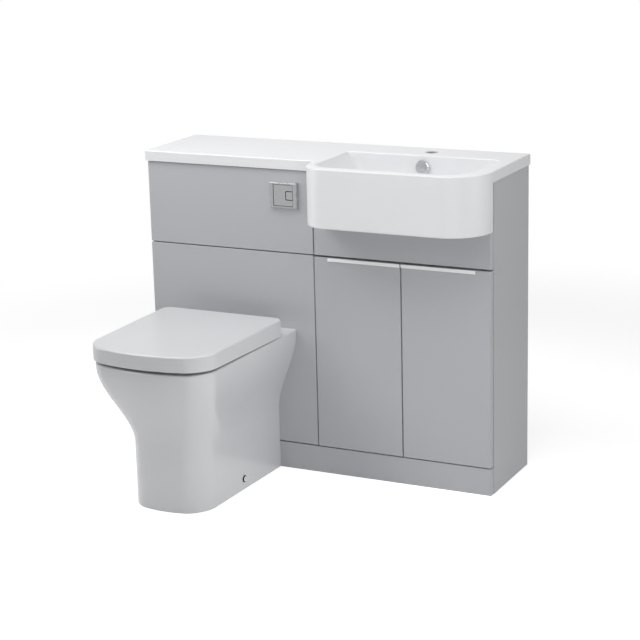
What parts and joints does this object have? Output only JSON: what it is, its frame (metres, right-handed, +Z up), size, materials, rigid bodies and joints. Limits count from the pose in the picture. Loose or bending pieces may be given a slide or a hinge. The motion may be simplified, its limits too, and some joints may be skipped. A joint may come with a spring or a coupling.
{
  "type": "back-to-wall combination vanity unit",
  "caption": "Fitted toilet and washbasin furniture: cast worktop with deep bow-front basin, concealed cistern, wrap-over lid on a back-to-wall pan, hinged cupboard doors.",
  "frame": {"origin": "on the floor and on the wall plane, at the joint between the toilet unit and the basin unit", "axes": "+X along the wall towards the basin unit's free side, +Y into the wall, +Z up"},
  "size_m": [1.008, 0.784, 0.857],
  "materials": {
    "cast_top": "gloss gel-coated cast marble",
    "china": "gloss white glaze",
    "seat_white": "gloss moulded urea",
    "panel_grey": "light grey satin lacquer on board",
    "carcass_grey": "light grey melamine board",
    "chrome_trim": "polished",
    "chromed_plastic": "chrome plated plastic",
    "bright_aluminium": "bright anodised",
    "steel": "nickel plated steel",
    "white_plastic": "moulded",
    "blue_plastic": "moulded",
    "black_rubber": "moulded rubber"
  },
  "bodies": {
    "unit": {"worktop_basin": "cast_top", "overflow_cover": "chrome_trim", "waste_body": "chrome_trim", "waste_washer": "black_rubber", "waste_backnut": "white_plastic", "wc_side_left": "panel_grey", "wc_side_right": "carcass_grey", "wc_top_rail": "carcass_grey", "wc_middle_rail": "carcass_grey", "wc_bottom_rail": "carcass_grey", "wc_rear_rail": "carcass_grey", "cistern_shelf": "carcass_grey", "wc_upper_panel": "panel_grey", "wc_lower_panel": "panel_grey", "panel_clips": "white_plastic", "plinth": "panel_grey", "vanity_side_left": "carcass_grey", "vanity_side_right": "panel_grey", "vanity_bottom": "carcass_grey", "vanity_front_rail": "carcass_grey", "vanity_rear_top_rail": "carcass_grey", "vanity_rear_low_rail": "carcass_grey", "fascia": "panel_grey", "hinge_arms_left": "steel", "hinge_arms_right": "steel", "door_buffers": "black_rubber", "unit_bolts": "steel", "wall_brackets": "steel", "pan": "china", "floor_brackets": "steel", "side_screws": "chrome_trim", "seat_posts": "chrome_trim", "seat_pins": "steel", "cistern_tank": "white_plastic", "cistern_lid": "white_plastic", "fill_valve": "white_plastic", "flush_valve": "white_plastic", "flush_backnut": "white_plastic", "flush_pipe": "white_plastic", "pan_cone_seal": "black_rubber", "flush_plate": "chromed_plastic", "button_housing": "white_plastic", "air_tubes": "black_rubber"},
    "door_left_leaf": {"door_left": "panel_grey", "handle_left": "bright_aluminium", "hinge_cups_left": "steel", "hinge_pins_left": "steel"},
    "door_right_leaf": {"door_right": "panel_grey", "handle_right": "bright_aluminium", "hinge_cups_right": "steel", "hinge_pins_right": "steel"},
    "seat": {"seat_ring": "seat_white", "ring_buffers": "white_plastic"},
    "lid": {"seat_lid": "seat_white", "lid_buffers": "white_plastic"},
    "full_button": {"button_full": "chromed_plastic"},
    "half_button": {"button_half": "chromed_plastic"},
    "flush_lifter": {"flush_sleeve": "blue_plastic"},
    "inlet_float": {"float": "blue_plastic"},
    "plug": {"waste_plug": "chrome_trim"}
  },
  "joints": [
    {"name": "left_door_hinge", "type": "hinge", "parent": "unit", "child": "door_left_leaf", "pos_m": [0.007, -0.2647, 0.34], "axis": [0, 0, -1], "range_deg": [0, 95]},
    {"name": "right_door_hinge", "type": "hinge", "parent": "unit", "child": "door_right_leaf", "pos_m": [0.493, -0.2647, 0.34], "axis": [0, 0, 1], "range_deg": [0, 95]},
    {"name": "seat_hinge", "type": "hinge", "parent": "unit", "child": "seat", "pos_m": [-0.238, -0.352, 0.424], "axis": [-1, 0, 0], "range_deg": [0, 95]},
    {"name": "lid_hinge", "type": "hinge", "parent": "seat", "child": "lid", "pos_m": [-0.238, -0.352, 0.424], "axis": [1, 0, 0], "range_deg": [-95, 0]},
    {"name": "full_flush_press", "type": "slide", "parent": "unit", "child": "full_button", "axis": [0, 1, 0], "range_m": [0, 0.006], "stiffness_N_per_m": 900, "springref_m": -0.002},
    {"name": "half_flush_press", "type": "slide", "parent": "unit", "child": "half_button", "axis": [0, 1, 0], "range_m": [0, 0.006], "stiffness_N_per_m": 400, "springref_m": -0.002},
    {"name": "flush_lift", "type": "slide", "parent": "unit", "child": "flush_lifter", "axis": [0, 0, 1], "range_m": [0, 0.024]},
    {"name": "float_rise", "type": "slide", "parent": "unit", "child": "inlet_float", "axis": [0, 0, 1], "range_m": [0, 0.04]},
    {"name": "plug_click", "type": "slide", "parent": "unit", "child": "plug", "axis": [0, 0, 1], "range_m": [0, 0.008]}
  ],
  "couplings": [
    {"joint": "flush_lift", "follows": "full_flush_press", "ratio": 4}
  ]
}
